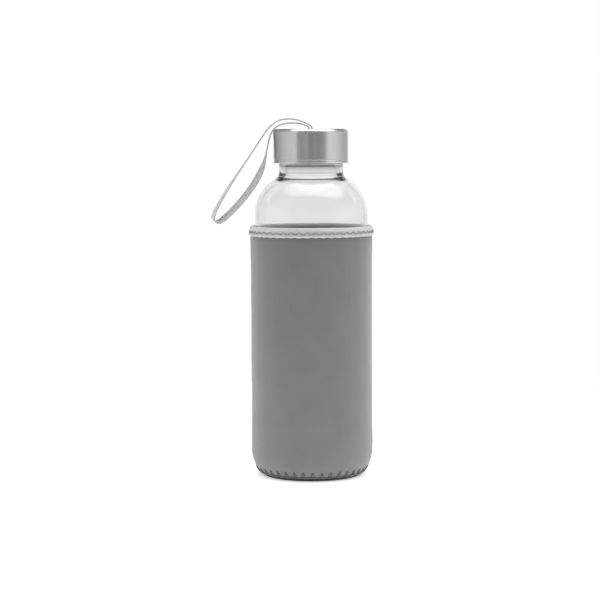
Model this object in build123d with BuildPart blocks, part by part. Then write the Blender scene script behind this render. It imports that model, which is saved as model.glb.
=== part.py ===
"""Glass water bottle in a neoprene sleeve, with a steel screw cap and a carrying strap.

Z is up. The origin is the centre of the sleeve's flat base, and the front faces -Y.
All sizes are in millimetres.
"""

import math
import os

from build123d import *

os.makedirs("parts", exist_ok=True)

# ---- driving dimensions -------------------------------------------------------------
GLASS_R = 32.3  # outside radius of the glass body
GLASS_WALL = 2.0
GLASS_FLOOR = 4.0  # thickness of the glass bottom at its rim
PUNT = 2.0  # height of the hollow under the bottle
SHOULDER_R = 23.0  # outside radius of the round shoulder's arc
SHOULDER_Z = 150.8  # where the straight wall turns into the shoulder
NECK_R = 18.05  # under the bead
NECK_FOOT_R = 18.75  # where the neck's cone meets the shoulder
NECK_FOOT_ROUND = 4.5
BORE_R = 14.2
BORE_BEND_Z = 174.1  # the middle of the long bend where the bore flares
BORE_FOOT_R = 16.8  # where that flare meets the inside of the shoulder
BORE_BEND_ROUND = 11.5
BORE_FOOT_ROUND = 2.2
FLOOR_ROUND = 4.0  # the bend round the floor inside
BEAD_R = 18.4  # the ring under the cap
BEAD_LOW = 178.0
BEAD_TOP = 179.7
BEAD_ROUND_LOW = 0.3
BEAD_ROUND_TOP = 0.7
FINISH_R = 17.45  # neck between the threads
LIP_Z = 191.0
LIP_ROUND = 1.0
RING_WIDTH = 4.0  # the ring the bottle stands on
RING_ROUND = 1.5
FLOOR_DOME = 1.6  # how far the floor rises in the middle, over the hollow underneath

PITCH = 4.23  # six turns to the inch
THREAD_TURNS = 1.25
THREAD_DEPTH = 0.95
THREAD_SINK = 0.3  # how far a thread's root lies inside its wall
THREAD_FOOT = 1.2  # half widths of a thread
THREAD_CREST = 0.6
THREAD_Z = 181.4  # the bottle thread's lower end
CAP_THREAD_Z = THREAD_Z + PITCH / 2

CAP_R = 21.6
CAP_LOW = 179.9
CAP_TOP = 199.5
CAP_CORNER = 2.0
STEEL = 0.5
HEM = 1.5  # height of the rolled hem under the groove
HEM_WALL = 0.8
HEM_ROUND_OUT = 0.55
HEM_ROUND_IN = 0.2
HEM_RAMP = 0.4  # height of the slope from the hem's inside to the wall
GROOVE_DEPTH = 0.25
GROOVE_R = 0.35
INSERT_R = 21.0
INSERT_BORE = 18.7
INSERT_PLATE = 1.6
INSERT_GAP = 0.05  # clearance between the cap's stacked pieces
INSERT_ROUND_OUT = 0.3
INSERT_ROUND_IN = 0.6
SKIRT_WALL = 0.6  # the insert's wall above its plate
BOSS = 0.8  # height of the boss that centres the gasket
RIBS = 8
RIB_WALL = 1.2
RIB_REACH = 0.9  # how far the ribs run past the insert's bore
ANCHOR = (9.0, 13.0)  # block that carries the pin, along X and Y
POCKET = (4.4, 7.4)  # room for the strap's sewn end
POCKET_SINK = 0.3  # how far the pocket is cut into the plate
GASKET = 1.5
GASKET_ROUND = 0.25
GASKET_R = 18.3
GASKET_BORE = 13.0
LINER_GAP = 0.3  # clearance round the gasket's centring boss

RIBBON_W = 5.8  # the strap's width
RIBBON_T = 0.8
HINGE_RISE = 1.4  # the strap's bending line above the cap's top
BEND_SHARE = 0.45  # each of the strap's bends takes up to this share of a run
KNUCKLE_R = 1.15
PIN_R = 1.0
PIN_LENGTH = 11.0
PIN_CHAMFER = 0.2
PIN_END_GAP = 0.1
PIN_Z = CAP_TOP - 2.7
CRADLE_GAP = 0.03  # between the pin and the groove it lies in
EYE_GAP = 0.06  # between the pin and the strap's sewn eye
ROOT_GAP = 0.1  # between the strap's two sewn layers
ROOT_RISE = 0.1  # top of the sewn end above the cap's top
SLOT = (2.6, 6.8)  # the cap's slot, along X and Y
SLOT_ROUND = 0.6

FOAM = 2.5  # neoprene thickness
SLEEVE_GAP = 0.3  # between sleeve and glass
SLEEVE_R = GLASS_R + SLEEVE_GAP + FOAM
CORNER_R = 20.4  # the sleeve's rounded lower corner
CORNER_Z = 15.6  # centre height of that corner
BASE_ROUND = 3.0  # round edge of the base disc's flat underside
SLEEVE_TOP = 144.2
BINDING_LOW = 138.6
TAPE = 0.55  # binding tape thickness
SQUEEZE = 0.4  # how much thinner the foam is under the tape
SQUEEZE_RAMP = 0.6  # height over which the foam thins
CLOTH_GAP = 0.05  # between layers of the sleeve
ROLL_OUT = 0.5  # the tape's top roll stands out this far from the sleeve
ROLL_INNER_Z = SLEEVE_TOP - 1.2
ROLL_OUTER_Z = SLEEVE_TOP - 1.8
PINCH_OUT = 0.3  # the stitched line stands out this far
PINCH_HALF = 0.8  # half its height
LIP_OUT = 0.85  # the tape's lower lip stands out this far at its fullest
LIP_EDGE_OUT = 0.6  # and this far at its edge
LIP_FULL_Z = BINDING_LOW + 0.8
STITCH = 0.45  # thread thickness
STITCH_TRIM = 2.2 * STITCH  # how much shorter a leg is than the run between needle holes
STITCH_GAP = 0.05  # between thread and cloth
BINDING_STITCH_Z = 140.9
BINDING_STITCH_RISE = 1.2
BINDING_STITCHES = 48
BASE_STITCH_RISE = 4.4
BASE_STITCHES = 38
BASE_STITCH_TILT = -35.0  # degrees down round the lower corner
BASE_STITCH_GAP = 0.12  # its straight legs stand off the round corner
BACK_STITCH_WIDTH = 2.6
BACK_STITCHES = 34
SEAM_WIDTH = 3.6  # the back seam's shallow channel, which holds its stitches flush
SEAM_DEPTH = 0.55
SEAM_TOP = 136.0

# ---- worked out from them ------------------------------------------------------------
corner_r = SLEEVE_R - CORNER_R  # radius at which the lower corners' arcs are centred
heel_r = GLASS_R - corner_r  # the glass heel's arc radius
base_z = FOAM + SLEEVE_GAP  # underside of the glass
shoulder_r = GLASS_R - SHOULDER_R
gasket_z = LIP_Z + INSERT_GAP
plate_z = gasket_z + GASKET + INSERT_GAP
steel_under = CAP_TOP - STEEL - INSERT_GAP  # the insert's highest point
insert_low = CAP_LOW + HEM + 2 * GROOVE_R + INSERT_GAP
groove_r = SLEEVE_R + PINCH_OUT  # the binding's stitched line


def on_arc(centre, radius, degrees):
    """A point on an arc about a centre, with the angle measured up from the horizontal."""
    angle = math.radians(degrees)
    return (centre[0] + radius * math.cos(angle), centre[1] + radius * math.sin(angle))


def arc_at_height(centre, radius, height):
    """The outer point of an arc at a given height."""
    rise = height - centre[1]
    return (centre[0] + math.sqrt(radius**2 - rise**2), height)


def arc_at_radius(centre, radius, out):
    """The upper point of an arc at a given distance from the axis."""
    reach = out - centre[0]
    return (out, centre[1] + math.sqrt(radius**2 - reach**2))


def arc_middle(centre, radius, start, end):
    """The point half way along an arc between two of its points."""
    turns = [math.degrees(math.atan2(p[1] - centre[1], p[0] - centre[0])) for p in (start, end)]
    return on_arc(centre, radius, sum(turns) / 2)


def round_corner(sketch, place, radius):
    """Round the sketch corner that is nearest to a place."""
    fillet(sketch.vertices().sort_by_distance((place[0], place[1], 0))[0], radius)


def thread_ridge(radius, base, direction):
    """One thread: a trapezoid swept up a helix, with its foot inside the wall it stands on.

    Its crest stands out from the wall (direction 1) or in from it (direction -1).
    """
    with BuildPart() as ridge:
        with BuildLine() as spiral:
            Helix(pitch=PITCH, height=THREAD_TURNS * PITCH, radius=radius, center=(0, 0, base))
        start = Plane(origin=spiral.line @ 0, x_dir=(direction, 0, 0), z_dir=spiral.line % 0)
        with BuildSketch(start):
            Polygon(
                (-THREAD_SINK, -THREAD_FOOT),
                (THREAD_DEPTH, -THREAD_CREST),
                (THREAD_DEPTH, THREAD_CREST),
                (-THREAD_SINK, THREAD_FOOT),
                align=None,
            )
        sweep(path=spiral.line, is_frenet=True)
    return ridge.part


def zigzag_legs(height, width, count, place):
    """Lay a row of slanted thread legs, two to a stitch, each on the place(leg) it is given."""
    length = math.hypot(height, width / 2) - STITCH_TRIM
    slant = math.degrees(math.atan2(height, width / 2))
    turns = [slant if leg % 2 else -slant for leg in range(2 * count)]
    with Locations([place(leg) * Rotation(0, 0, turn) for leg, turn in enumerate(turns)]):
        Box(length, STITCH, STITCH)


# ---- glass bottle --------------------------------------------------------------------
heel = (corner_r, CORNER_Z)
shoulder = (shoulder_r, SHOULDER_Z)
inner_heel_r = heel_r - GLASS_WALL
inner_shoulder_r = SHOULDER_R - GLASS_WALL
foot_point = arc_at_height(heel, heel_r, base_z)
neck_foot = arc_at_radius(shoulder, SHOULDER_R, NECK_FOOT_R)
floor_z = base_z + GLASS_FLOOR
floor_point = arc_at_height(heel, inner_heel_r, floor_z)
bore_foot = arc_at_radius(shoulder, inner_shoulder_r, BORE_FOOT_R)
ring_r = foot_point[0] - RING_WIDTH
floor_top = floor_z + FLOOR_DOME

bottle_thread = thread_ridge(FINISH_R, THREAD_Z, 1)
with BuildPart() as glass_bottle:
    with BuildSketch(Plane.XZ) as glass_section:
        with BuildLine():
            TangentArc((0, base_z + PUNT), (ring_r, base_z), tangent=(1, 0))
            Line((ring_r, base_z), foot_point)
            heel_end = (GLASS_R, CORNER_Z)
            ThreePointArc(foot_point, arc_middle(heel, heel_r, foot_point, heel_end), heel_end)
            Line(heel_end, (GLASS_R, SHOULDER_Z))
            ThreePointArc(
                (GLASS_R, SHOULDER_Z),
                arc_middle(shoulder, SHOULDER_R, (GLASS_R, SHOULDER_Z), neck_foot),
                neck_foot,
            )
            Polyline(
                neck_foot,
                (NECK_R, BEAD_LOW),
                (BEAD_R, BEAD_LOW),
                (BEAD_R, BEAD_TOP),
                (FINISH_R, BEAD_TOP),
                (FINISH_R, LIP_Z),
                (BORE_R, LIP_Z),
                (BORE_R, BORE_BEND_Z),
                bore_foot,
            )
            inner_top = (GLASS_R - GLASS_WALL, SHOULDER_Z)
            inner_low = (GLASS_R - GLASS_WALL, CORNER_Z)
            ThreePointArc(
                bore_foot, arc_middle(shoulder, inner_shoulder_r, bore_foot, inner_top), inner_top
            )
            Line(inner_top, inner_low)
            ThreePointArc(
                inner_low, arc_middle(heel, inner_heel_r, inner_low, floor_point), floor_point
            )
            TangentArc((0, floor_top), floor_point, tangent=(1, 0))
            Line((0, floor_top), (0, base_z + PUNT))
        make_face()
        round_corner(glass_section, neck_foot, NECK_FOOT_ROUND)
        round_corner(glass_section, bore_foot, BORE_FOOT_ROUND)
        round_corner(glass_section, (BORE_R, BORE_BEND_Z), BORE_BEND_ROUND)
        round_corner(glass_section, (BEAD_R, BEAD_LOW), BEAD_ROUND_LOW)
        round_corner(glass_section, (BEAD_R, BEAD_TOP), BEAD_ROUND_TOP)
        round_corner(glass_section, (FINISH_R, LIP_Z), LIP_ROUND)
        round_corner(glass_section, (BORE_R, LIP_Z), LIP_ROUND)
        round_corner(glass_section, foot_point, RING_ROUND)
        round_corner(glass_section, (ring_r, base_z), RING_ROUND)
        round_corner(glass_section, floor_point, FLOOR_ROUND)
    revolve(axis=Axis.Z)
    add(bottle_thread)
glass_bottle.part.label = "glass_bottle"
export_step(glass_bottle.part, "parts/glass_bottle.step")

# ---- gasket, on the lip ----------------------------------------------------------------
with BuildPart() as cap_gasket:
    with BuildSketch(Plane.XY.offset(gasket_z)):
        Circle(GASKET_R)
        Circle(GASKET_BORE, mode=Mode.SUBTRACT)
    extrude(amount=GASKET)
    fillet(cap_gasket.edges().filter_by(GeomType.CIRCLE), GASKET_ROUND)
cap_gasket.part.label = "cap_gasket"
export_step(cap_gasket.part, "parts/cap_gasket.step")

# ---- cap shell -------------------------------------------------------------------------
with BuildPart() as cap_shell:
    with BuildSketch(Plane.XZ) as shell_section:
        Polygon(
            (0, CAP_TOP),
            (CAP_R, CAP_TOP),
            (CAP_R, CAP_LOW),
            (CAP_R - HEM_WALL, CAP_LOW),
            (CAP_R - HEM_WALL, CAP_LOW + HEM),
            (CAP_R - STEEL, CAP_LOW + HEM + HEM_RAMP),
            (CAP_R - STEEL, CAP_TOP - STEEL),
            (0, CAP_TOP - STEEL),
            align=None,
        )
        round_corner(shell_section, (CAP_R, CAP_TOP), CAP_CORNER)
        round_corner(shell_section, (CAP_R - STEEL, CAP_TOP - STEEL), CAP_CORNER - STEEL)
        round_corner(shell_section, (CAP_R, CAP_LOW), HEM_ROUND_OUT)
        round_corner(shell_section, (CAP_R - HEM_WALL, CAP_LOW), HEM_ROUND_IN)
        with Locations((CAP_R + GROOVE_R - GROOVE_DEPTH, CAP_LOW + HEM + GROOVE_R)):
            Circle(GROOVE_R, mode=Mode.SUBTRACT)
    revolve(axis=Axis.Z)
    with BuildSketch(Plane.XY.offset(CAP_TOP)):
        RectangleRounded(*SLOT, SLOT_ROUND)
    extrude(amount=-2 * STEEL, mode=Mode.SUBTRACT)
cap_shell.part.label = "cap_shell"
export_step(cap_shell.part, "parts/cap_shell.step")

# ---- threaded insert, pressed into the shell ----------------------------------------------
pocket_z = plate_z + INSERT_PLATE - POCKET_SINK
cradle_r = PIN_R + CRADLE_GAP
boss_r = GASKET_BORE - LINER_GAP
skirt_r = INSERT_BORE + SKIRT_WALL
rib_end = INSERT_BORE + RIB_REACH
insert_thread = thread_ridge(INSERT_BORE, CAP_THREAD_Z, -1)
with BuildPart() as cap_insert:
    with BuildSketch(Plane.XZ) as insert_section:
        Polygon(
            (0, plate_z - BOSS),
            (boss_r, plate_z - BOSS),
            (boss_r, plate_z),
            (INSERT_BORE, plate_z),
            (INSERT_BORE, insert_low),
            (INSERT_R, insert_low),
            (INSERT_R, steel_under),
            (skirt_r, steel_under),
            (skirt_r, plate_z + INSERT_PLATE),
            (0, plate_z + INSERT_PLATE),
            align=None,
        )
        round_corner(insert_section, (INSERT_R, steel_under), CAP_CORNER - STEEL)
        round_corner(insert_section, (INSERT_R, insert_low), INSERT_ROUND_OUT)
        round_corner(insert_section, (INSERT_BORE, insert_low), INSERT_ROUND_IN)
    revolve(axis=Axis.Z)
    ribs_height = steel_under - plate_z - INSERT_PLATE
    with BuildSketch(Plane.XY.offset(plate_z + INSERT_PLATE)):
        Rectangle(*ANCHOR)
        with PolarLocations(0, RIBS):
            with Locations((rib_end / 2, 0)):
                Rectangle(rib_end, RIB_WALL)
    extrude(amount=ribs_height)
    with BuildSketch(Plane.XY.offset(pocket_z)):
        Rectangle(*POCKET)
    extrude(amount=CAP_TOP - pocket_z, mode=Mode.SUBTRACT)
    with BuildSketch(Plane.XZ):
        with Locations((0, PIN_Z)):
            Circle(cradle_r)
        with Locations((0, (PIN_Z + CAP_TOP) / 2)):
            Rectangle(2 * cradle_r, CAP_TOP - PIN_Z)
    extrude(amount=PIN_LENGTH / 2 + PIN_END_GAP, both=True, mode=Mode.SUBTRACT)
    add(insert_thread)
cap_insert.part.label = "cap_insert"
export_step(cap_insert.part, "parts/cap_insert.step")

# ---- strap pin and the strap's sewn end ------------------------------------------------------
with BuildPart() as strap_pin:
    with BuildSketch(Plane.XZ):
        with Locations((0, PIN_Z)):
            Circle(PIN_R)
    extrude(amount=PIN_LENGTH / 2, both=True)
    chamfer(strap_pin.edges().filter_by(GeomType.CIRCLE), PIN_CHAMFER)
strap_pin.part.label = "strap_pin"
export_step(strap_pin.part, "parts/strap_pin.step")

eye_r = PIN_R + EYE_GAP
sewn_top = CAP_TOP + ROOT_RISE
with BuildPart() as strap_root:
    with BuildSketch(Plane.XZ):
        with Locations((0, PIN_Z)):
            Circle(eye_r + RIBBON_T)
        with Locations((0, (PIN_Z + sewn_top) / 2)):
            Rectangle(2 * RIBBON_T + ROOT_GAP, sewn_top - PIN_Z)
        with Locations((0, PIN_Z)):
            Circle(eye_r, mode=Mode.SUBTRACT)
    extrude(amount=RIBBON_W / 2, both=True)
strap_root.part.label = "strap_root"
export_step(strap_root.part, "parts/strap_root.step")

# ---- carrying strap: one flat ribbon, out over the cap's left edge and back -----------------
# The route lies in the XZ plane, with its heights above the cap's top. The first and the last
# point lie in the knuckle that the strap bends about.
STRAP_ROUTE = [
    (-0.45, 0.95),
    (-3.5, 2.45),
    (-8.3, 3.45),
    (-13.9, 3.35),
    (-19.4, 2.3),
    (-23.1, -2.0),
    (-24.9, -9.8),
    (-27.0, -20.6),
    (-32.4, -31.2),
    (-39.8, -40.8),
    (-45.2, -46.6),
    (-48.9, -50.0),
    (-51.3, -52.0),
    (-53.6, -53.2),
    (-55.8, -52.5),
    (-56.5, -50.2),
    (-55.1, -46.6),
    (-51.7, -40.2),
    (-44.2, -28.2),
    (-33.7, -13.3),
    (-27.0, -2.9),
    (-23.2, 2.0),
    (-18.4, 5.2),
    (-12.4, 6.0),
    (-6.4, 5.0),
    (-2.2, 3.2),
    (0.35, 1.9),
]


def bend_radii(route):
    """The arc at each inner point, as large as its shorter run allows."""
    radii = []
    for before, point, after in zip(route, route[1:], route[2:]):
        run_in = Vector(*point) - Vector(*before)
        run_out = Vector(*after) - Vector(*point)
        turn = math.radians(run_in.get_angle(run_out))
        shorter = min(run_in.length, run_out.length)
        radii.append(BEND_SHARE * shorter / math.tan(turn / 2))
    return radii


strap_radii = bend_radii(STRAP_ROUTE)
strap_path = [(x, CAP_TOP + z) for x, z in STRAP_ROUTE]
hinge_z = CAP_TOP + HINGE_RISE
with BuildPart() as carry_strap:
    with BuildLine(Plane.XZ) as strap_line:
        FilletPolyline(*strap_path, radius=strap_radii)
    strap_wire = strap_line.wires()[0]
    with BuildSketch(Plane(strap_wire @ 0, x_dir=(0, 1, 0), z_dir=strap_wire % 0)):
        Rectangle(RIBBON_W, RIBBON_T)
    sweep(path=strap_wire)
    with BuildSketch(Plane.XZ):
        with Locations((0, hinge_z)):
            Circle(KNUCKLE_R)
    extrude(amount=RIBBON_W / 2, both=True)
carry_strap.part.label = "carry_strap"
export_step(carry_strap.part, "parts/carry_strap.step")

strap_length = sum(edge.length for edge in strap_line.edges())
print("strap radii", [round(radius, 1) for radius in strap_radii])
print("strap length", round(strap_length, 1))
print("strap volume", round(carry_strap.part.volume, 1), "section x length",
      round(RIBBON_W * RIBBON_T * strap_length, 1))

# ---- neoprene sleeve: wall, base disc and binding ---------------------------------------------
seam_z = FOAM + CLOTH_GAP  # the wall's lower edge, on the base disc
wall_top = BINDING_LOW - SQUEEZE_RAMP  # where the wall starts to thin
foam_top = SLEEVE_TOP - TAPE - 2 * CLOTH_GAP
squeeze_out = SLEEVE_R - SQUEEZE  # outside of the foam under the binding
squeeze_in = GLASS_R + SLEEVE_GAP + TAPE + CLOTH_GAP
inner_corner_r = CORNER_R - FOAM
with BuildPart() as sleeve_wall:
    with BuildSketch(Plane.XZ):
        with BuildLine():
            outer_low = arc_at_height(heel, CORNER_R, seam_z)
            inner_low = arc_at_height(heel, inner_corner_r, seam_z)
            outer_end = (SLEEVE_R, CORNER_Z)
            inner_end = (SLEEVE_R - FOAM, CORNER_Z)
            Line(inner_low, outer_low)
            ThreePointArc(outer_low, arc_middle(heel, CORNER_R, outer_low, outer_end), outer_end)
            Polyline(
                outer_end,
                (SLEEVE_R, wall_top),
                (squeeze_out, BINDING_LOW),
                (squeeze_out, foam_top),
                (squeeze_in, foam_top),
                (squeeze_in, BINDING_LOW),
                (SLEEVE_R - FOAM, wall_top),
                inner_end,
            )
            ThreePointArc(
                inner_end, arc_middle(heel, inner_corner_r, inner_end, inner_low), inner_low
            )
        make_face()
    revolve(axis=Axis.Z)
    with BuildSketch(Plane.XY.offset(CORNER_Z)):
        with Locations((0, SLEEVE_R)):
            Rectangle(SEAM_WIDTH, 2 * SEAM_DEPTH)
    extrude(amount=SEAM_TOP - CORNER_Z, mode=Mode.SUBTRACT)
sleeve_wall.part.label = "sleeve_wall"
export_step(sleeve_wall.part, "parts/sleeve_wall.step")

with BuildPart() as sleeve_base:
    with BuildSketch(Plane.XZ) as base_section:
        with BuildLine():
            disc_low = arc_at_height(heel, CORNER_R, 0)
            disc_top = arc_at_height(heel, CORNER_R, FOAM)
            Polyline(disc_top, (0, FOAM), (0, 0), disc_low)
            ThreePointArc(disc_low, arc_middle(heel, CORNER_R, disc_low, disc_top), disc_top)
        make_face()
        round_corner(base_section, disc_low, BASE_ROUND)
    revolve(axis=Axis.Z)
sleeve_base.part.label = "sleeve_base"
export_step(sleeve_base.part, "parts/sleeve_base.step")

tape_in = GLASS_R + SLEEVE_GAP
tape_out = squeeze_out + CLOTH_GAP
tape_under = foam_top + CLOTH_GAP
roll_start = (tape_in, ROLL_INNER_Z)
roll_end = (SLEEVE_R + ROLL_OUT, ROLL_OUTER_Z)
pinch_top = (groove_r, BINDING_STITCH_Z + PINCH_HALF)
pinch_low = (groove_r, BINDING_STITCH_Z - PINCH_HALF)
lip_edge = (SLEEVE_R + LIP_EDGE_OUT, BINDING_LOW)
with BuildPart() as sleeve_binding:
    with BuildSketch(Plane.XZ):
        with BuildLine():
            Line((tape_in, BINDING_LOW), roll_start)
            ThreePointArc(roll_start, ((tape_in + roll_end[0]) / 2, SLEEVE_TOP), roll_end)
            Polyline(roll_end, pinch_top, pinch_low)
            ThreePointArc(pinch_low, (SLEEVE_R + LIP_OUT, LIP_FULL_Z), lip_edge)
            Polyline(
                lip_edge,
                (tape_out, BINDING_LOW),
                (tape_out, tape_under),
                (tape_in + TAPE, tape_under),
                (tape_in + TAPE, BINDING_LOW),
                (tape_in, BINDING_LOW),
            )
        make_face()
    revolve(axis=Axis.Z)
sleeve_binding.part.label = "sleeve_binding"
export_step(sleeve_binding.part, "parts/sleeve_binding.step")


# ---- stitches: groups of thread legs on the binding, round the base and down the back ---------
def binding_place(leg):
    """Place of one binding leg: facing outward, in the binding's pinched line."""
    turn = 360 * (leg + 0.5) / (2 * BINDING_STITCHES)
    out = Vector(1, 0, 0).rotate(Axis.Z, turn)
    around = Vector(0, 1, 0).rotate(Axis.Z, turn)
    centre = out * (groove_r + STITCH / 2 + STITCH_GAP) + Vector(0, 0, BINDING_STITCH_Z)
    return Plane(origin=centre, x_dir=around, z_dir=out).location


def base_place(leg):
    """Place of one base leg: facing along the rounded lower corner's normal."""
    turn = 360 * (leg + 0.5) / (2 * BASE_STITCHES)
    point = on_arc(heel, CORNER_R + STITCH / 2 + BASE_STITCH_GAP, BASE_STITCH_TILT)
    normal = on_arc((0, 0), 1, BASE_STITCH_TILT)
    out = Vector(normal[0], 0, normal[1]).rotate(Axis.Z, turn)
    around = Vector(0, 1, 0).rotate(Axis.Z, turn)
    centre = Vector(point[0], 0, point[1]).rotate(Axis.Z, turn)
    return Plane(origin=centre, x_dir=around, z_dir=out).location


def back_place(leg):
    """Place of one back-seam leg: facing +Y, in the seam's channel."""
    height = CORNER_Z + (SEAM_TOP - CORNER_Z) * (leg + 0.5) / (2 * BACK_STITCHES)
    centre = (0, SLEEVE_R - SEAM_DEPTH + STITCH / 2 + STITCH_GAP, height)
    return Plane(origin=centre, x_dir=(0, 0, 1), z_dir=(0, 1, 0)).location


base_seam_r = on_arc(heel, CORNER_R, BASE_STITCH_TILT)[0]
binding_pitch = 2 * math.pi * groove_r / BINDING_STITCHES
base_pitch = 2 * math.pi * base_seam_r / BASE_STITCHES
back_pitch = (SEAM_TOP - CORNER_Z) / BACK_STITCHES
with BuildPart() as binding_stitches:
    zigzag_legs(BINDING_STITCH_RISE, binding_pitch, BINDING_STITCHES, binding_place)
binding_stitches.part.label = "binding_stitches"
export_step(binding_stitches.part, "parts/binding_stitches.step")

with BuildPart() as base_seam_stitches:
    zigzag_legs(BASE_STITCH_RISE, base_pitch, BASE_STITCHES, base_place)
base_seam_stitches.part.label = "base_seam_stitches"
export_step(base_seam_stitches.part, "parts/base_seam_stitches.step")

with BuildPart() as back_seam_stitches:
    zigzag_legs(BACK_STITCH_WIDTH, back_pitch, BACK_STITCHES, back_place)
back_seam_stitches.part.label = "back_seam_stitches"
export_step(back_seam_stitches.part, "parts/back_seam_stitches.step")
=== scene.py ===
"""Looks of the glass water bottle: sleeve, binding, stitches, glass, steel cap and ribbon strap.

Everything is in metres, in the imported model's frame. The front faces -Y, and +Z is up.
"""

import math

import bpy
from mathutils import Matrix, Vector, noise


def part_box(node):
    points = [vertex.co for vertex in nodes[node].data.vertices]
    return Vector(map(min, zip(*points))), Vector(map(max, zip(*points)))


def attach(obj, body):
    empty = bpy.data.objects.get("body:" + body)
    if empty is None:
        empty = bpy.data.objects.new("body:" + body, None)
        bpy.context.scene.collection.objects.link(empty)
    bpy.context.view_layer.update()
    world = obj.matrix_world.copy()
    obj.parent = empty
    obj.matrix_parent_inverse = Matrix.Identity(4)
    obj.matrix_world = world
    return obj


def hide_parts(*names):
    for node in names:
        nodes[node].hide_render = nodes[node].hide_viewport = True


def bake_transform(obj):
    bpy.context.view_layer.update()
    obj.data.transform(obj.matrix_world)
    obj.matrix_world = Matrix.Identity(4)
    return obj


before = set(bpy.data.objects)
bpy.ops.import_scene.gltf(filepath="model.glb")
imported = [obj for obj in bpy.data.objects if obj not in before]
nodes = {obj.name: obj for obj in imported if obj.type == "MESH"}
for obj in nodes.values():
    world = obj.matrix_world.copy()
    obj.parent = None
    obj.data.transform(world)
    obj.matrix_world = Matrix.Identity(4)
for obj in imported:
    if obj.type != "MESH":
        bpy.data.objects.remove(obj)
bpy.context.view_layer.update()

MM = 0.001

# ---- sizes read from the frame ---------------------------------------------------------
cap_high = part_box("cap_shell")[1]
glass_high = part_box("glass_bottle")[1]
wall_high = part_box("sleeve_wall")[1]
base_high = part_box("sleeve_base")[1]
binding_low, binding_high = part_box("sleeve_binding")

CAP_TOP = cap_high.z
GLASS_R = glass_high.x
SLEEVE_R = wall_high.x
BINDING_R = binding_high.x
FOAM = base_high.z

# ---- sizes of the looks ----------------------------------------------------------------
SLEEVE_GAP = 0.3 * MM  # between the glass and the sleeve
TAPE = 0.55 * MM
CORNER_R = 20.4 * MM  # the sleeve's rounded lower corner
CORNER_Z = 15.6 * MM
BASE_ROUND = 3.0 * MM
BINDING_STITCHES = 48
BINDING_STITCH_Z = 140.9 * MM
SHADE_LINE_Z = 179.45 * MM  # middle of a line of painted shade on the glass, just under the cap
SHADE_LINE_DARK = 0.4 * MM  # it is darkest up to this far above and below its middle
SHADE_LINE_END = 0.9 * MM  # and gone this far away
GLASS_TINT = (0.994, 1.0, 0.998)
SEAM_DEPTH = 0.75 * MM  # the groove of the sleeve's back seam
SEAM_WIDTH = 1.3 * MM
SLEEVE_SQUEEZE = 0.35 * MM  # how far the binding presses the sleeve's outside in
BASE_STITCHES = 38
BACK_STITCHES = 34
THREAD_R = 0.21 * MM
RIBBON_W = 5.8 * MM
RIBBON_T = 0.8 * MM

# The strap's route in the XZ plane, in millimetres, with its heights above the cap's top. It
# starts and ends inside the cap's slot.
STRAP_ROUTE = [
    (-0.6, -2.2),
    (-0.65, -0.5),
    (-1.3, 1.1),
    (-3.6, 2.5),
    (-8.3, 3.5),
    (-13.9, 3.3),
    (-19.2, 2.1),
    (-23.0, -2.0),
    (-24.9, -9.8),
    (-27.0, -20.6),
    (-32.4, -31.2),
    (-39.8, -40.8),
    (-45.2, -46.6),
    (-48.9, -50.0),
    (-51.3, -52.0),
    (-53.6, -53.2),
    (-55.8, -52.5),
    (-56.5, -50.2),
    (-55.1, -46.6),
    (-51.7, -40.2),
    (-44.2, -28.2),
    (-33.7, -13.3),
    (-27.0, -2.9),
    (-23.2, 2.0),
    (-18.4, 5.2),
    (-12.4, 6.0),
    (-6.4, 5.0),
    (-2.2, 3.2),
    (0.4, 1.6),
    (0.75, -0.3),
    (0.7, -2.2),
]


# ---- camera ----------------------------------------------------------------------------
LENS = 125.28  # millimetres, on a 36 mm sensor
CAMERA_PLACE = (-0.0062, -1.2, 0.198)
CAMERA_DOWN = 4.612  # degrees below level
CAMERA_ROLL = 0.27  # degrees


def make_camera():
    """A long lens in front of the bottle, level with the cap's top, looking slightly down."""
    data = bpy.data.cameras.new("camera")
    data.lens = LENS
    data.sensor_width = 36.0
    data.clip_end = 50.0
    camera = bpy.data.objects.new("camera", data)
    bpy.context.scene.collection.objects.link(camera)
    camera.location = CAMERA_PLACE
    camera.rotation_euler = (math.radians(90.0 - CAMERA_DOWN), math.radians(CAMERA_ROLL), 0.0)
    bpy.context.scene.camera = camera


# ---- mesh helpers ----------------------------------------------------------------------
def mesh_object(name, verts, faces, uvs=None, smooth=True):
    """A mesh object; uvs gives each face's corners, in millimetres on the cloth."""
    mesh = bpy.data.meshes.new(name)
    mesh.from_pydata([tuple(v) for v in verts], [], faces)
    if uvs is not None:
        layer = mesh.uv_layers.new(name="cloth")
        flat = [value for face in uvs for corner in face for value in corner]
        layer.data.foreach_set("uv", flat)
    mesh.polygons.foreach_set("use_smooth", [smooth] * len(mesh.polygons))
    mesh.update()
    piece = bpy.data.objects.new(name, mesh)
    bpy.context.scene.collection.objects.link(piece)
    return piece


def arc_lengths(points):
    """Distance along a line of points, one value each."""
    total = [0.0]
    for a, b in zip(points, points[1:]):
        total.append(total[-1] + (Vector(b) - Vector(a)).length)
    return total


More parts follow.
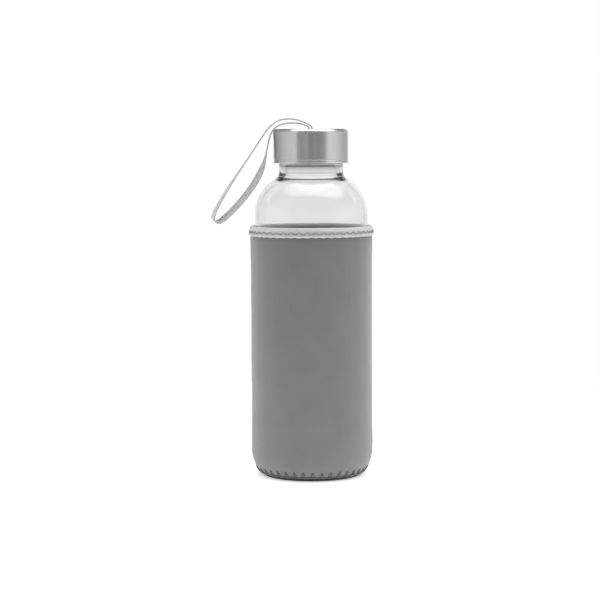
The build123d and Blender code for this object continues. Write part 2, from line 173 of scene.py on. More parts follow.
def lathe(name, profile, segments, shape=None):
    """Turn a closed profile of (radius, height) points about Z.

    shape(radius, height, angle) moves a point.
    """
    count = len(profile)
    verts = []
    for i in range(segments):
        angle = 2 * math.pi * i / segments
        for radius, height in profile:
            if shape:
                radius, height = shape(radius, height, angle)
            verts.append((radius * math.cos(angle), radius * math.sin(angle), height))
    along = arc_lengths(list(profile) + [profile[0]])
    mean_r = sum(radius for radius, _ in profile) / count
    faces, uvs = [], []
    for i in range(segments):
        j = (i + 1) % segments
        u0 = mean_r * 2 * math.pi * i / segments / MM
        u1 = mean_r * 2 * math.pi * (i + 1) / segments / MM
        for k in range(count):
            m = (k + 1) % count
            v0, v1 = along[k] / MM, along[k + 1] / MM
            faces.append((i * count + k, j * count + k, j * count + m, i * count + m))
            uvs.append(((u0, v0), (u1, v0), (u1, v1), (u0, v1)))
    return mesh_object(name, verts, faces, uvs)


def tube_rings(points, normals, radius, sides):
    """Rings of a round tube along points, each with a sideways direction of its own."""
    rings = []
    for k, point in enumerate(points):
        ahead = Vector(points[min(k + 1, len(points) - 1)])
        behind = Vector(points[max(k - 1, 0)])
        tangent = (ahead - behind).normalized()
        side = tangent.cross(Vector(normals[k])).normalized()
        up = side.cross(tangent)
        ring = []
        for s in range(sides):
            angle = 2 * math.pi * s / sides
            ring.append(Vector(point) + radius * (math.cos(angle) * side + math.sin(angle) * up))
        rings.append(ring)
    return rings


def join_tubes(name, runs, radius, sides=8):
    """One mesh of many thread tubes; runs is a list of (points, normals)."""
    verts, faces, uvs = [], [], []
    for points, normals in runs:
        first = len(verts)
        along = arc_lengths(points)
        rings = tube_rings(points, normals, radius, sides)
        for ring in rings:
            verts.extend(ring)
        for k in range(len(points) - 1):
            for s in range(sides):
                t = (s + 1) % sides
                a, b = first + k * sides, first + (k + 1) * sides
                faces.append((a + s, b + s, b + t, a + t))
                v0, v1 = along[k] / MM, along[k + 1] / MM
                u0, u1 = s / sides, (s + 1) / sides
                uvs.append(((u0, v0), (u0, v1), (u1, v1), (u1, v0)))
        for start, order in ((first, -1), (first + (len(points) - 1) * sides, 1)):
            cap = [start + s for s in range(sides)][::-order]
            faces.append(tuple(cap))
            uvs.append(tuple((0.5, 0.0) for _ in cap))
    return mesh_object(name, verts, faces, uvs)


def cloth_wave(angle, height, size, seed):
    """Smooth noise on a cylinder, from -1 to 1."""
    place = Vector((math.cos(angle), math.sin(angle), height / size + seed))
    return noise.noise(Vector((place.x * SLEEVE_R / size, place.y * SLEEVE_R / size, place.z)))


def smooth_step(low, high, value):
    """0 below low, 1 above high, and smooth between."""
    t = min(max((value - low) / (high - low), 0.0), 1.0)
    return t * t * (3 - 2 * t)


def arc_profile(radius, start, end, count):
    """Points on the sleeve's lower corner, between two angles in degrees."""
    centre = SLEEVE_R - CORNER_R
    points = []
    for k in range(count):
        turn = math.radians(start + (end - start) * k / (count - 1))
        points.append((centre + radius * math.cos(turn), CORNER_Z + radius * math.sin(turn)))
    return points


# ---- materials ---------------------------------------------------------------------------
class Nodes:
    """A short way to write a material's nodes."""

    def __init__(self, name):
        self.material = bpy.data.materials.new(name)
        self.material.use_nodes = True
        self.tree = self.material.node_tree
        self.tree.nodes.clear()
        self.shader = self.tree.nodes.new("ShaderNodeBsdfPrincipled")
        output = self.tree.nodes.new("ShaderNodeOutputMaterial")
        self.tree.links.new(self.shader.outputs[0], output.inputs["Surface"])

    def put(self, socket, value):
        """Give an input a constant or another node's output."""
        if isinstance(value, bpy.types.NodeSocket):
            self.tree.links.new(value, socket)
        else:
            socket.default_value = value

    def set(self, **values):
        """Set the shader's own sockets; an underscore in a name is a space."""
        for name, value in values.items():
            self.put(self.shader.inputs[name.replace("_", " ")], value)

    def math(self, operation, *values):
        node = self.tree.nodes.new("ShaderNodeMath")
        node.operation = operation
        for socket, value in zip(node.inputs, values):
            self.put(socket, value)
        return node.outputs[0]

    def uv(self):
        """The cloth's u and v, in millimetres."""
        node = self.tree.nodes.new("ShaderNodeUVMap")
        node.uv_map = "cloth"
        split = self.tree.nodes.new("ShaderNodeSeparateXYZ")
        self.tree.links.new(node.outputs[0], split.inputs[0])
        return split.outputs[0], split.outputs[1]

    def place(self):
        """The object's own x, y and z, in metres."""
        node = self.tree.nodes.new("ShaderNodeTexCoord")
        split = self.tree.nodes.new("ShaderNodeSeparateXYZ")
        self.tree.links.new(node.outputs["Object"], split.inputs[0])
        return split.outputs[0], split.outputs[1], split.outputs[2]

    def vector(self, x, y, z):
        node = self.tree.nodes.new("ShaderNodeCombineXYZ")
        for socket, value in zip(node.inputs, (x, y, z)):
            self.put(socket, value)
        return node.outputs[0]

    def object_vector(self):
        return self.tree.nodes.new("ShaderNodeTexCoord").outputs["Object"]

    def noise(self, vector, scale, detail=3.0, roughness=0.55):
        node = self.tree.nodes.new("ShaderNodeTexNoise")
        self.put(node.inputs["Vector"], vector)
        node.inputs["Scale"].default_value = scale
        node.inputs["Detail"].default_value = detail
        node.inputs["Roughness"].default_value = roughness
        return node.outputs["Fac"]

    def ramp(self, factor, *stops):
        """A colour ramp; each stop is (position, grey)."""
        node = self.tree.nodes.new("ShaderNodeValToRGB")
        self.put(node.inputs[0], factor)
        elements = node.color_ramp.elements
        for index, (position, grey) in enumerate(stops):
            element = elements[index] if index < 2 else elements.new(position)
            element.position = position
            element.color = (grey, grey, grey, 1.0)
        return node.outputs[0]

    def mix(self, factor, a, b):
        node = self.tree.nodes.new("ShaderNodeMix")
        node.data_type = "RGBA"
        self.put(node.inputs[0], factor)
        self.put(node.inputs[6], a)
        self.put(node.inputs[7], b)
        return node.outputs[2]

    def bump(self, height, distance, strength=1.0, below=None):
        node = self.tree.nodes.new("ShaderNodeBump")
        self.put(node.inputs["Height"], height)
        node.inputs["Distance"].default_value = distance
        node.inputs["Strength"].default_value = strength
        if below is not None:
            self.tree.links.new(below, node.inputs["Normal"])
        return node.outputs[0]


def grey(value, tint=(1.0, 1.0, 1.0)):
    return (value * tint[0], value * tint[1], value * tint[2], 1.0)


def knit_height(m, u, v, wale, course):
    """Height of a jersey knit: columns of small V-shaped stitches."""
    column = m.math("FRACT", m.math("DIVIDE", u, wale))
    off = m.math("ABSOLUTE", m.math("SUBTRACT", column, 0.5))
    row = m.math("ADD", m.math("DIVIDE", v, course), m.math("MULTIPLY", off, 1.3))
    stitch = m.math("SINE", m.math("MULTIPLY", row, 2 * math.pi))
    gutter = m.math("COSINE", m.math("MULTIPLY", column, 2 * math.pi))
    return m.math("ADD", m.math("MULTIPLY", stitch, 0.5), m.math("MULTIPLY", gutter, -0.5))


def knit_material(name, low, high, wale, course, sheen, relief):
    """Knitted cloth on foam: stitches, soft mottling and a little fuzz."""
    m = Nodes(name)
    u, v = m.uv()
    knit = knit_height(m, u, v, wale, course)
    surface = m.object_vector()
    cloud = m.noise(surface, 55.0, 4.0, 0.6)
    fibre = m.noise(surface, 2600.0, 2.0, 0.6)
    tone = m.math("ADD", m.math("MULTIPLY", cloud, 0.55), m.math("MULTIPLY", fibre, 0.25))
    tone = m.math("ADD", tone, m.math("MULTIPLY", knit, 0.10))
    m.set(
        Base_Color=m.mix(tone, grey(low), grey(high)),
        Roughness=0.92,
        Sheen_Weight=sheen,
        Sheen_Roughness=0.45,
        Normal=m.bump(knit, relief, 1.0, m.bump(fibre, 0.5 * relief, 0.6)),
    )
    m.shader.inputs["Specular IOR Level"].default_value = 0.25
    return m.material


def neoprene_material():
    return knit_material("neoprene_knit", 0.18, 0.275, 0.85, 0.70, 0.60, 0.045 * MM)


# Painted shade: the base disc's near-black colour stands for the shadow at the sleeve's foot.
def base_shade_material():
    return knit_material("base_knit_painted_shade", 0.018, 0.045, 0.85, 0.70, 0.15, 0.045 * MM)


def tape_material():
    """Pale elastic tape: a fine weave, a soft sheen and a slightly uneven tone."""
    m = Nodes("binding_tape")
    u, v = m.uv()
    rib = m.math("SINE", m.math("MULTIPLY", u, 2 * math.pi / 0.55))
    warp = m.math("SINE", m.math("MULTIPLY", v, 2 * math.pi / 0.38))
    weave = m.math("MULTIPLY", rib, warp)
    cloud = m.noise(m.object_vector(), 180.0, 4.0, 0.6)
    tone = m.math("ADD", m.math("MULTIPLY", cloud, 0.8), m.math("MULTIPLY", weave, 0.12))
    m.set(
        Base_Color=m.mix(tone, grey(0.64), grey(0.82)),
        Roughness=0.85,
        Sheen_Weight=0.2,
        Sheen_Roughness=0.5,
        Normal=m.bump(weave, 0.05 * MM, 1.0),
    )
    return m.material


def ribbon_material():
    """Grosgrain ribbon: cross ribs with fine warp threads between smooth selvedges."""
    m = Nodes("woven_ribbon")
    u, v = m.uv()
    slant = m.math("ADD", v, m.math("MULTIPLY", u, 0.12))
    rib = m.math("SINE", m.math("MULTIPLY", slant, 2 * math.pi / 0.62))
    warp = m.math("SINE", m.math("MULTIPLY", u, 2 * math.pi / 0.30))
    height = m.math("ADD", m.math("MULTIPLY", rib, 0.8), m.math("MULTIPLY", warp, 0.2))
    fibre = m.noise(m.object_vector(), 1500.0, 3.0, 0.6)
    tone = m.math("ADD", m.math("MULTIPLY", rib, 0.08), m.math("MULTIPLY", fibre, 0.8))
    m.set(
        Base_Color=m.mix(tone, grey(0.60), grey(0.68)),
        Roughness=0.7,
        Sheen_Weight=0.2,
        Sheen_Roughness=0.4,
        Normal=m.bump(height, 0.005 * MM, 1.0),
    )
    return m.material


def thread_material(name, low, high):
    """Two-ply sewing thread: the plies wind round it."""
    m = Nodes(name)
    u, v = m.uv()
    wind = m.math("ADD", m.math("MULTIPLY", u, 2.0), m.math("DIVIDE", v, 0.55))
    ply = m.math("SINE", m.math("MULTIPLY", wind, 2 * math.pi))
    fibre = m.noise(m.object_vector(), 6000.0, 2.0, 0.6)
    tone = m.math("ADD", m.math("MULTIPLY", ply, 0.3), fibre)
    m.set(
        Base_Color=m.mix(tone, grey(low), grey(high)),
        Roughness=0.6,
        Sheen_Weight=0.3,
        Sheen_Roughness=0.4,
        Normal=m.bump(ply, 0.06 * MM, 1.0),
    )
    return m.material


def brushed_steel_material():
    """Steel brushed round the cap: streaks that run round it and change with height and radius."""
    m = Nodes("brushed_steel")
    x, y, z = m.place()
    radius = m.math("SQRT", m.math("ADD", m.math("MULTIPLY", x, x), m.math("MULTIPLY", y, y)))
    turn = m.math("ARCTAN2", y, x)
    fine = m.noise(
        m.vector(
            m.math("MULTIPLY", radius, 9000.0),
            m.math("MULTIPLY", turn, 3.0),
            m.math("MULTIPLY", z, 9000.0),
        ),
        1.0, 4.0, 0.65,
    )
    coarse = m.noise(
        m.vector(
            m.math("MULTIPLY", radius, 1500.0),
            m.math("MULTIPLY", turn, 1.2),
            m.math("MULTIPLY", z, 1500.0),
        ),
        1.0, 2.0, 0.5,
    )
    streak = m.math("ADD", m.math("MULTIPLY", fine, 0.6), m.math("MULTIPLY", coarse, 0.4))
    tangent = m.tree.nodes.new("ShaderNodeTangent")
    tangent.direction_type = "RADIAL"
    tangent.axis = "Z"
    m.set(
        Base_Color=m.mix(streak, grey(0.54), grey(0.64)),
        Metallic=1.0,
        Roughness=m.ramp(streak, (0.3, 0.28), (0.7, 0.34)),
        Anisotropic=0.9,
        Anisotropic_Rotation=0.25,
        Tangent=tangent.outputs[0],
        Normal=m.bump(fine, 0.006 * MM, 0.3),
    )
    return m.material


def glass_material():
    """Clear glass with a faint ripple and a dark line of painted shade under the cap.

    Shadow and diffuse rays pass straight through it, so that lamps light what is inside.
    """
    m = Nodes("clear_glass")
    ripple = m.noise(m.object_vector(), 45.0, 2.0, 0.4)
    split = m.tree.nodes.new("ShaderNodeSeparateXYZ")
    m.tree.links.new(m.object_vector(), split.inputs[0])
    # Painted shade: the glass's colour is made dark in a thin band just under the cap, where the
    # cap's hem shades the neck.
    ring = m.math("SUBTRACT", split.outputs[2], SHADE_LINE_Z)
    ring = m.ramp(m.math("ABSOLUTE", ring), (SHADE_LINE_DARK, 0.0), (SHADE_LINE_END, 1.0))
    m.set(
        Base_Color=m.mix(ring, grey(0.30), grey(0.92, GLASS_TINT)),
        Roughness=0.0,
        Transmission_Weight=1.0,
        Normal=m.bump(ripple, 0.25 * MM, 0.25),
    )
    m.shader.inputs["IOR"].default_value = 1.5
    path = m.tree.nodes.new("ShaderNodeLightPath")
    lamps = m.math("MAXIMUM", path.outputs["Is Shadow Ray"], path.outputs["Is Diffuse Ray"])
    clear = m.tree.nodes.new("ShaderNodeBsdfTransparent")
    clear.inputs[0].default_value = grey(0.93)
    mix = m.tree.nodes.new("ShaderNodeMixShader")
    m.tree.links.new(lamps, mix.inputs[0])
    m.tree.links.new(m.shader.outputs[0], mix.inputs[1])
    m.tree.links.new(clear.outputs[0], mix.inputs[2])
    output = next(n for n in m.tree.nodes if n.type == "OUTPUT_MATERIAL")
    m.tree.links.new(mix.outputs[0], output.inputs["Surface"])
    return m.material


def silicone_material():
    m = Nodes("silicone")
    bloom = m.noise(m.object_vector(), 400.0, 3.0, 0.5)
    m.set(
        Base_Color=m.mix(bloom, grey(0.62), grey(0.78)),
        Roughness=m.ramp(bloom, (0.3, 0.45), (0.7, 0.62)),
        Subsurface_Weight=0.2,
        Subsurface_Radius=(0.002, 0.002, 0.002),
        Normal=m.bump(bloom, 0.02 * MM, 0.4),
    )
    return m.material


def moulded_material():
    m = Nodes("moulded_plastic")
    spark = m.noise(m.object_vector(), 3000.0, 2.0, 0.5)
    cloud = m.noise(m.object_vector(), 120.0, 2.0, 0.5)
    m.set(
        Base_Color=m.mix(cloud, grey(0.30), grey(0.36)),
        Roughness=m.ramp(spark, (0.3, 0.42), (0.7, 0.56)),
        Normal=m.bump(spark, 0.02 * MM, 0.5),
    )
    return m.material


def dress(piece, material):
    """Give a piece or a carried-over CAD node one material."""
    piece.data.materials.clear()
    piece.data.materials.append(material)


# ---- strap -------------------------------------------------------------------------------
def smooth_route():
    """Points along the route's smooth line."""
    curve = bpy.data.curves.new("strap_route", "CURVE")
    curve.dimensions = "3D"
    curve.resolution_u = 12
    spline = curve.splines.new("NURBS")
    spline.points.add(len(STRAP_ROUTE) - 1)
    for point, (x, z) in zip(spline.points, STRAP_ROUTE):
        point.co = (x * MM, 0.0, CAP_TOP + z * MM, 1.0)
    spline.order_u = 3
    spline.use_endpoint_u = True
    guide = bpy.data.objects.new("strap_route", curve)
    bpy.context.scene.collection.objects.link(guide)
    line = bpy.data.meshes.new_from_object(guide)
    points = [Vector(v.co) for v in line.vertices]
    bpy.data.objects.remove(guide)
    bpy.data.curves.remove(curve)
    bpy.data.meshes.remove(line)
    return points


def ribbon_section():
    """The ribbon's whole outline as (across, out) points, in order round it."""
    half, thick = RIBBON_W / 2, RIBBON_T / 2
    across = [-1.0, -0.97, -0.88, -0.6, -0.3, 0.0, 0.3, 0.6, 0.88, 0.97, 1.0]
    lift = [0.0, 0.72, 1.0, 0.9, 0.88, 0.88, 0.88, 0.9, 1.0, 0.72, 0.0]
    top = [(a * half, t * thick) for a, t in zip(across, lift)]
    under = [(a, -t) for a, t in reversed(top[1:-1])]
    return top + under


def ribbon_twist(point, outer):
    """The ribbon's turn out of edge-on, in radians: both branches lean the same way low down."""
    drop = (CAP_TOP - point.z) / MM
    if outer:
        return math.radians(15.0) * smooth_step(8.0, 45.0, drop)
    return math.radians(34.0) * smooth_step(11.0, 27.0, drop)


def make_strap():
    """One flat ribbon that follows the route and leans open towards the loop's free end."""
    path = smooth_route()
    along = arc_lengths(path)
    lean = Vector((-0.83, 0.0, 0.56))
    section = ribbon_section()
    count = len(section)
    girth = arc_lengths([(a, t) for a, t in section] + [section[0]])
    middle = along[-1] / 2
    verts, faces, uvs = [], [], []
    for k, point in enumerate(path):
        tangent = (path[min(k + 1, len(path) - 1)] - path[max(k - 1, 0)]).normalized()
        sideways = lean - lean.dot(tangent) * tangent
        blend = smooth_step(middle - 12 * MM, middle + 12 * MM, along[k])
        turn = (1 - blend) * ribbon_twist(point, False) + blend * ribbon_twist(point, True)
        wide = (math.cos(turn) * Vector((0, 1, 0)) + math.sin(turn) * sideways).normalized()
        face = tangent.cross(wide).normalized()
        for across, out in section:
            verts.append(point + across * wide + out * face)
    for k in range(len(path) - 1):
        for s in range(count):
            t = (s + 1) % count
            faces.append((k * count + s, (k + 1) * count + s, (k + 1) * count + t, k * count + t))
            u0, u1 = girth[s] / MM, girth[s + 1] / MM
            v0, v1 = along[k] / MM, along[k + 1] / MM
            uvs.append(((u0, v0), (u0, v1), (u1, v1), (u1, v0)))
    last = (len(path) - 1) * count
    for ring in (list(range(count)), [last + s for s in range(count)][::-1]):
        faces.append(tuple(ring))
        uvs.append(tuple((0.0, 0.0) for _ in ring))
    strap = mesh_object("ribbon_strap", verts, faces, uvs)
    dress(strap, ribbon_material())
    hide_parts("carry_strap", "strap_root")
    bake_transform(strap)


# ---- sleeve ------------------------------------------------------------------------------
def seam_groove(across):
    """Depth of the back seam's groove at a distance across from its middle."""
    return SEAM_DEPTH * math.exp(-((across / SEAM_WIDTH) ** 2))


def sleeve_shape(radius, height, angle):
    """The sleeve's outer skin: soft waves, the back seam's groove and gathers at the base."""
    if radius < SLEEVE_R - 1.6 * MM and height > CORNER_Z:
        return radius, height
    back = abs(math.remainder(angle - math.pi / 2, 2 * math.pi)) * SLEEVE_R
    wave = 0.12 * MM * cloth_wave(angle, height, 26 * MM, 3.0)
    wave += 0.07 * MM * cloth_wave(angle, height, 9 * MM, 11.0)
    wave -= 0.28 * MM * smooth_step(16 * MM, 42 * MM, height)
    wave += 0.24 * MM * smooth_step(114 * MM, 138 * MM, height)
    seam = seam_groove(back)
    near_base = 1 - smooth_step(2 * MM, 9 * MM, height)
    gather = 0.22 * MM * near_base * math.cos(BASE_STITCHES * angle)
    return radius + wave - seam + gather, height


def make_sleeve():
    """The neoprene wall: outer skin, top edge under the binding, inner skin and base edge."""
    top = binding_high.z - TAPE - 0.3 * MM
    inner = SLEEVE_R - FOAM
    squeeze_out, squeeze_in = SLEEVE_R - SLEEVE_SQUEEZE, inner + TAPE + 0.1 * MM
    outer_corner = arc_profile(CORNER_R, -40.5, 0.0, 18)
    inner_corner = arc_profile(CORNER_R - FOAM, 0.0, -47.0, 14)
    straight = [
        (SLEEVE_R, CORNER_Z + (binding_low.z - 1 * MM - CORNER_Z) * k / 60) for k in range(1, 61)
    ]
    profile = outer_corner + straight
    profile += [
        (squeeze_out, binding_low.z + 0.2 * MM),
        (squeeze_out, top),
        (squeeze_in, top),
        (squeeze_in, binding_low.z + 0.2 * MM),
        (inner, binding_low.z - 1 * MM),
    ]
    profile += inner_corner
    sleeve = lathe("neoprene_sleeve", profile, 384, sleeve_shape)
    dress(sleeve, neoprene_material())
    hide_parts("sleeve_wall")
    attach(sleeve, "sleeve")
    return sleeve


def make_base():
    """The base disc: a neoprene round with a soft rolled edge, made near-black as painted shade."""
    out, up = SLEEVE_R - CORNER_R + 11.82 * MM, BASE_ROUND
    edge = []
    for k in range(6):
        turn = math.radians(-90.0 + 43.2 * k / 6)
        edge.append((out + BASE_ROUND * math.cos(turn), up + BASE_ROUND * math.sin(turn)))
    edge += arc_profile(CORNER_R - 0.12 * MM, -46.8, -41.5, 5)
    profile = [(0.0, 0.0)] + [(edge[0][0] * k / 12, 0.0) for k in range(1, 12)] + edge
    top = edge[-1][1]
    profile += [(edge[-1][0] * (12 - k) / 12, top) for k in range(1, 12)] + [(0.0, top)]
    base = lathe_disc("sleeve_bottom", profile, 192)
    dress(base, base_shade_material())
    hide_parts("sleeve_base")
    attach(base, "sleeve")


def lathe_disc(name, profile, segments):
    """Turn an open profile that starts and ends on the axis about Z."""
    inner = profile[1:-1]
    count = len(inner)
    verts = []
    for i in range(segments):
        angle = 2 * math.pi * i / segments
        for radius, height in inner:
            verts.append((radius * math.cos(angle), radius * math.sin(angle), height))
    low, high = len(verts), len(verts) + 1
    verts += [(0, 0, profile[0][1]), (0, 0, profile[-1][1])]
    faces, uvs = [], []
    for i in range(segments):
        j = (i + 1) % segments
        rings = [(i * count + k, j * count + k, j * count + k + 1, i * count + k + 1)
                 for k in range(count - 1)]
        rings.append((low, j * count, i * count))
        rings.append((high, i * count + count - 1, j * count + count - 1))
        for face in rings:
            faces.append(face)
            uvs.append(tuple((verts[c][0] / MM, verts[c][1] / MM) for c in face))
    return mesh_object(name, verts, faces, uvs)


def binding_shape(radius, height, angle):
    """The tape's outer leg: a scalloped lip, drawn in at each stitch."""
    outside = smooth_step(SLEEVE_R - 1.0 * MM, SLEEVE_R, radius)
    lip = 1 - smooth_step(139.4 * MM, 140.6 * MM, height)
    scallop = math.cos(BINDING_STITCHES * angle)
    radius += outside * 0.14 * MM * cloth_wave(angle, height, 8 * MM, 5.0)
    radius += outside * lip * 0.16 * MM * scallop
    height += outside * lip * 0.22 * MM * scallop
    height += 0.12 * MM * cloth_wave(angle, 0.0, 14 * MM, 7.0)
    return radius, height


def make_binding():
    """Pale tape folded over the sleeve's top edge, with a puffed lower lip."""
    inner = GLASS_R + SLEEVE_GAP
    low, top = binding_low.z, binding_high.z
    wall_in, wall_out = inner + TAPE, SLEEVE_R - SLEEVE_SQUEEZE
    lip = BINDING_R - 0.05 * MM
    profile = [
        (wall_in, low + 0.1 * MM),
        (wall_in, top - 1.2 * MM),
        (wall_out, top - 1.2 * MM),
        (wall_out, low + 0.4 * MM),
        (SLEEVE_R + 0.12 * MM, low + 0.05 * MM),
        (lip - 0.42 * MM, low + 0.02 * MM),
        (lip - 0.1 * MM, low + 0.4 * MM),
        (lip, low + 0.85 * MM),
        (lip - 0.1 * MM, low + 1.3 * MM),
        (lip - 0.42 * MM, BINDING_STITCH_Z - 0.62 * MM),
        (SLEEVE_R + 0.22 * MM, BINDING_STITCH_Z - 0.3 * MM),
        (SLEEVE_R + 0.22 * MM, BINDING_STITCH_Z + 0.3 * MM),
        (SLEEVE_R + 0.40 * MM, BINDING_STITCH_Z + 0.75 * MM),
    ]
    half = (SLEEVE_R + 0.42 * MM - inner) / 2
    rise = 2.4 * MM
    for k in range(15):
        turn = math.pi * k / 14
        drop = rise * (1 - math.sin(turn) ** 0.9)
        profile.append((inner + half + half * math.cos(turn), top - 0.02 * MM - drop))
    profile += [(inner, low + 2.4 * MM), (inner, low + 0.1 * MM)]
    binding = lathe("binding_tape", profile, 768, binding_shape)
    dress(binding, tape_material())
    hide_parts("sleeve_binding")
    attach(binding, "sleeve")


# ---- stitches ----------------------------------------------------------------------------
def zigzag_runs(count, low, high, place, dip, spread=1.0, steps=7):
    """Thread legs between needle holes; place(turn, height) gives a point and its normal.

    spread is a stitch's width at its foot, over the distance between two stitches.
    """
    runs = []
    for leg in range(2 * count):
        side = 1 if leg % 2 else -1
        apex = (leg // 2 + 0.5) / count
        points, normals = [], []
        for k in range(steps):
            t = k / (steps - 1)
            away = side * 0.5 * spread * (0.06 + 0.88 * t) / count
            point, normal = place(apex + away, high + (low - high) * t)
            lift = THREAD_R * 0.9 - dip * (2 * t - 1) ** 4
            points.append(point + normal * lift)
            normals.append(normal)
        runs.append((points, normals))
    return runs


def on_cylinder(radius):
    """place() for stitches on an upright cylinder."""
    def place(turn, height):
        angle = 2 * math.pi * turn
        out = Vector((math.cos(angle), math.sin(angle), 0.0))
        return out * radius + Vector((0, 0, height)), out
    return place


def on_corner(turn, tilt):
    """place() for stitches on the rounded lower corner; tilt is in degrees."""
    angle, down = 2 * math.pi * turn, math.radians(tilt)
    out = Vector((math.cos(angle), math.sin(angle), 0.0))
    normal = out * math.cos(down) + Vector((0, 0, math.sin(down)))
    centre = out * (SLEEVE_R - CORNER_R) + Vector((0, 0, CORNER_Z))
    return centre + normal * CORNER_R, normal


def make_binding_stitches(thread):
    groove = SLEEVE_R + 0.24 * MM
    low, high = BINDING_STITCH_Z - 0.75 * MM, BINDING_STITCH_Z + 0.75 * MM
    runs = zigzag_runs(BINDING_STITCHES, low, high, on_cylinder(groove + 0.12 * MM), 0.3 * MM)
    stitches = join_tubes("binding_thread", runs, THREAD_R)
    dress(stitches, thread)
    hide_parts("binding_stitches")
    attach(stitches, "sleeve")


def make_base_stitches(thread):
    """Overlocked base seam: zigzag legs over the corner and two cords that run round under them."""
    runs = zigzag_runs(BASE_STITCHES, -40.5, -29.0, on_corner, 0.3 * MM, 0.5, 9)
    for tilt, wobble, phase in ((-40.6, 0.6, 0.0), (-38.9, 0.5, 1.5)):
        points, normals = [], []
        steps = BASE_STITCHES * 8
        for k in range(steps + 1):
            sway = wobble * math.sin(2 * math.pi * BASE_STITCHES * k / steps + phase)
            point, normal = on_corner(k / steps, tilt + sway)
            points.append(point + normal * THREAD_R * 0.9)
            normals.append(normal)
        runs.append((points, normals))
    stitches = join_tubes("base_thread", runs, 1.35 * THREAD_R)
    dress(stitches, thread)
    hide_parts("base_seam_stitches")
    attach(stitches, "sleeve")


def make_back_stitches(thread):
    """Flatlock seam down the back, where the sleeve's panel is joined."""
    low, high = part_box("back_seam_stitches")[0].z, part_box("back_seam_stitches")[1].z

    def place(turn, across):
        angle = math.pi / 2 + across / SLEEVE_R
        out = Vector((math.cos(angle), math.sin(angle), 0.0))
        foot = Vector((0, 0, low + (high - low) * turn))
        return out * (SLEEVE_R - seam_groove(across)) + foot, out

    runs = zigzag_runs(BACK_STITCHES, -SEAM_WIDTH, SEAM_WIDTH, place, 0.25 * MM)
    stitches = join_tubes("back_thread", runs, THREAD_R)
    dress(stitches, thread)
    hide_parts("back_seam_stitches")
    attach(stitches, "sleeve")


# ---- light and floor ------------------------------------------------------------------------
# Brightness of the studio round the bottle: (turn, level). Turn 0.5 is the front, 0.25 the
# left, 0.75 the right, and 0 and 1 the back. The first list is at eye level, the second high up.
STUDIO = [
    (0.0, 1.0),
    (0.060, 1.0),
    (0.075, 0.50),
    (0.10, 0.48),
    (0.156, 0.50),
    (0.225, 0.68),
    (0.30, 0.82),
    (0.371, 0.86),
    (0.380, 0.24),
    (0.427, 0.18),
    (0.462, 0.32),
    (0.488, 0.10),
    (0.505, 0.08),
    (0.53, 0.19),
    (0.555, 0.10),
    (0.60, 0.19),
    (0.622, 0.22),
    (0.648, 0.88),
    (0.69, 0.94),
    (0.74, 0.90),
    (0.82, 0.64),
    (0.90, 0.56),
    (0.925, 1.0),
    (1.0, 1.0),
]
STUDIO_HIGH = [
    (0.0, 0.22),
    (0.12, 0.22),
    (0.18, 0.5),
    (0.35, 0.5),
    (0.40, 0.12),
    (0.60, 0.12),
    (0.65, 0.5),
    (0.82, 0.5),
    (0.88, 0.22),
    (1.0, 0.22),
]
# What the glass shows by refraction, in the same form.
THROUGH = [
    (0.0, 1.0),
    (0.05, 0.98),
    (0.10, 0.80),
    (0.20, 0.70),
    (0.30, 0.55),
    (0.50, 0.30),
    (0.70, 0.55),
    (0.80, 0.70),
    (0.90, 0.80),
    (0.95, 0.98),
    (1.0, 1.0),
]
OVERHEAD = 3.0  # brightness of the big softbox overhead, as it lights cloth
OVERHEAD_GLINT = 5.0  # and as polished surfaces mirror it
# Its outline is a rounded oval on a plane one unit up: (middle, half size, roundness).
OVERHEAD_ACROSS = (0.20, 0.92, 2.0)
OVERHEAD_DEEP = (-0.10, 0.54, 2.5)


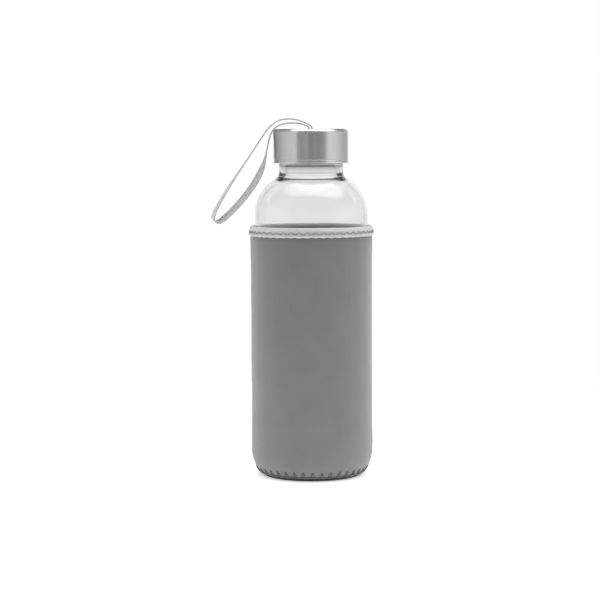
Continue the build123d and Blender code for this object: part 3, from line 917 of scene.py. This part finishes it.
def make_world():
    """A studio: white behind, bright walls left and right, a dim front and a big light overhead."""
    world = bpy.data.worlds.new("studio")
    bpy.context.scene.world = world
    world.use_nodes = True
    m = Nodes.__new__(Nodes)
    m.tree = tree = world.node_tree
    tree.nodes.clear()
    split = tree.nodes.new("ShaderNodeSeparateXYZ")
    tree.links.new(tree.nodes.new("ShaderNodeTexCoord").outputs["Generated"], split.inputs[0])
    x, y, z = split.outputs
    path = tree.nodes.new("ShaderNodeLightPath").outputs
    azimuth = m.math("ARCTAN2", x, m.math("MULTIPLY", y, -1.0))
    turn = m.math("ADD", m.math("DIVIDE", azimuth, 2 * math.pi), 0.5)
    rise = m.ramp(z, (0.30, 0.0), (0.50, 1.0))
    walls = m.mix(rise, m.ramp(turn, *STUDIO), m.ramp(turn, *STUDIO_HIGH))
    up = m.math("MAXIMUM", z, 0.02)
    parts = []
    for axis, (middle, half, roundness) in ((x, OVERHEAD_ACROSS), (y, OVERHEAD_DEEP)):
        away = m.math("SUBTRACT", m.math("DIVIDE", axis, up), middle)
        away = m.math("ABSOLUTE", m.math("DIVIDE", away, half))
        parts.append(m.math("POWER", away, roundness))
    oval = m.math("ADD", *parts)
    overhead = m.ramp(m.math("MULTIPLY", oval, 0.5), (0.12, 1.0), (0.80, 0.0))
    glint = m.math("MULTIPLY", path["Is Glossy Ray"], OVERHEAD_GLINT - OVERHEAD)
    glow = m.math("ADD", OVERHEAD, glint)
    level = m.mix(overhead, walls, m.vector(glow, glow, glow))
    level = m.mix(path["Is Transmission Ray"], level, m.ramp(turn, *THROUGH))
    level = m.mix(path["Is Camera Ray"], level, grey(1.0))
    light = tree.nodes.new("ShaderNodeBackground")
    tree.links.new(level, light.inputs["Color"])
    output = tree.nodes.new("ShaderNodeOutputWorld")
    tree.links.new(light.outputs[0], output.inputs["Surface"])


def make_softbox(name, place, aim, size, power):
    data = bpy.data.lights.new(name, "AREA")
    data.shape = "RECTANGLE"
    data.size, data.size_y = size
    data.energy = power
    light = bpy.data.objects.new(name, data)
    bpy.context.scene.collection.objects.link(light)
    light.location = place
    light.rotation_euler = (Vector(aim) - Vector(place)).to_track_quat("-Z", "Y").to_euler()


def make_stage():
    """A round pale table top under the bottle."""
    around = [2 * math.pi * k / 96 for k in range(96)]
    verts = [(0.45 * math.cos(turn), 0.45 * math.sin(turn), 0.0) for turn in around]
    floor = mesh_object("floor", verts, [tuple(range(96))], smooth=False)
    m = Nodes("pale_floor")
    m.set(Base_Color=grey(0.8), Roughness=0.9, Emission_Color=grey(1.0), Emission_Strength=0.55)
    dress(floor, m.material)


# ---- everything, in order ---------------------------------------------------------------------
bpy.context.scene.view_settings.view_transform = "Standard"
make_camera()
make_strap()
make_sleeve()
make_base()
make_binding()
grey_thread = thread_material("grey_thread", 0.20, 0.34)
dark_thread = thread_material("dark_thread", 0.09, 0.17)
make_binding_stitches(grey_thread)
make_base_stitches(dark_thread)
make_back_stitches(grey_thread)
steel = brushed_steel_material()
dress(nodes["cap_shell"], steel)
dress(nodes["strap_pin"], steel)
dress(nodes["cap_insert"], moulded_material())
dress(nodes["cap_gasket"], silicone_material())
dress(nodes["glass_bottle"], glass_material())
make_world()
make_softbox("fill", (0.0, -0.05, 1.6), (0.0, -0.05, 0.0), (0.9, 0.7), 1.0)
make_stage()
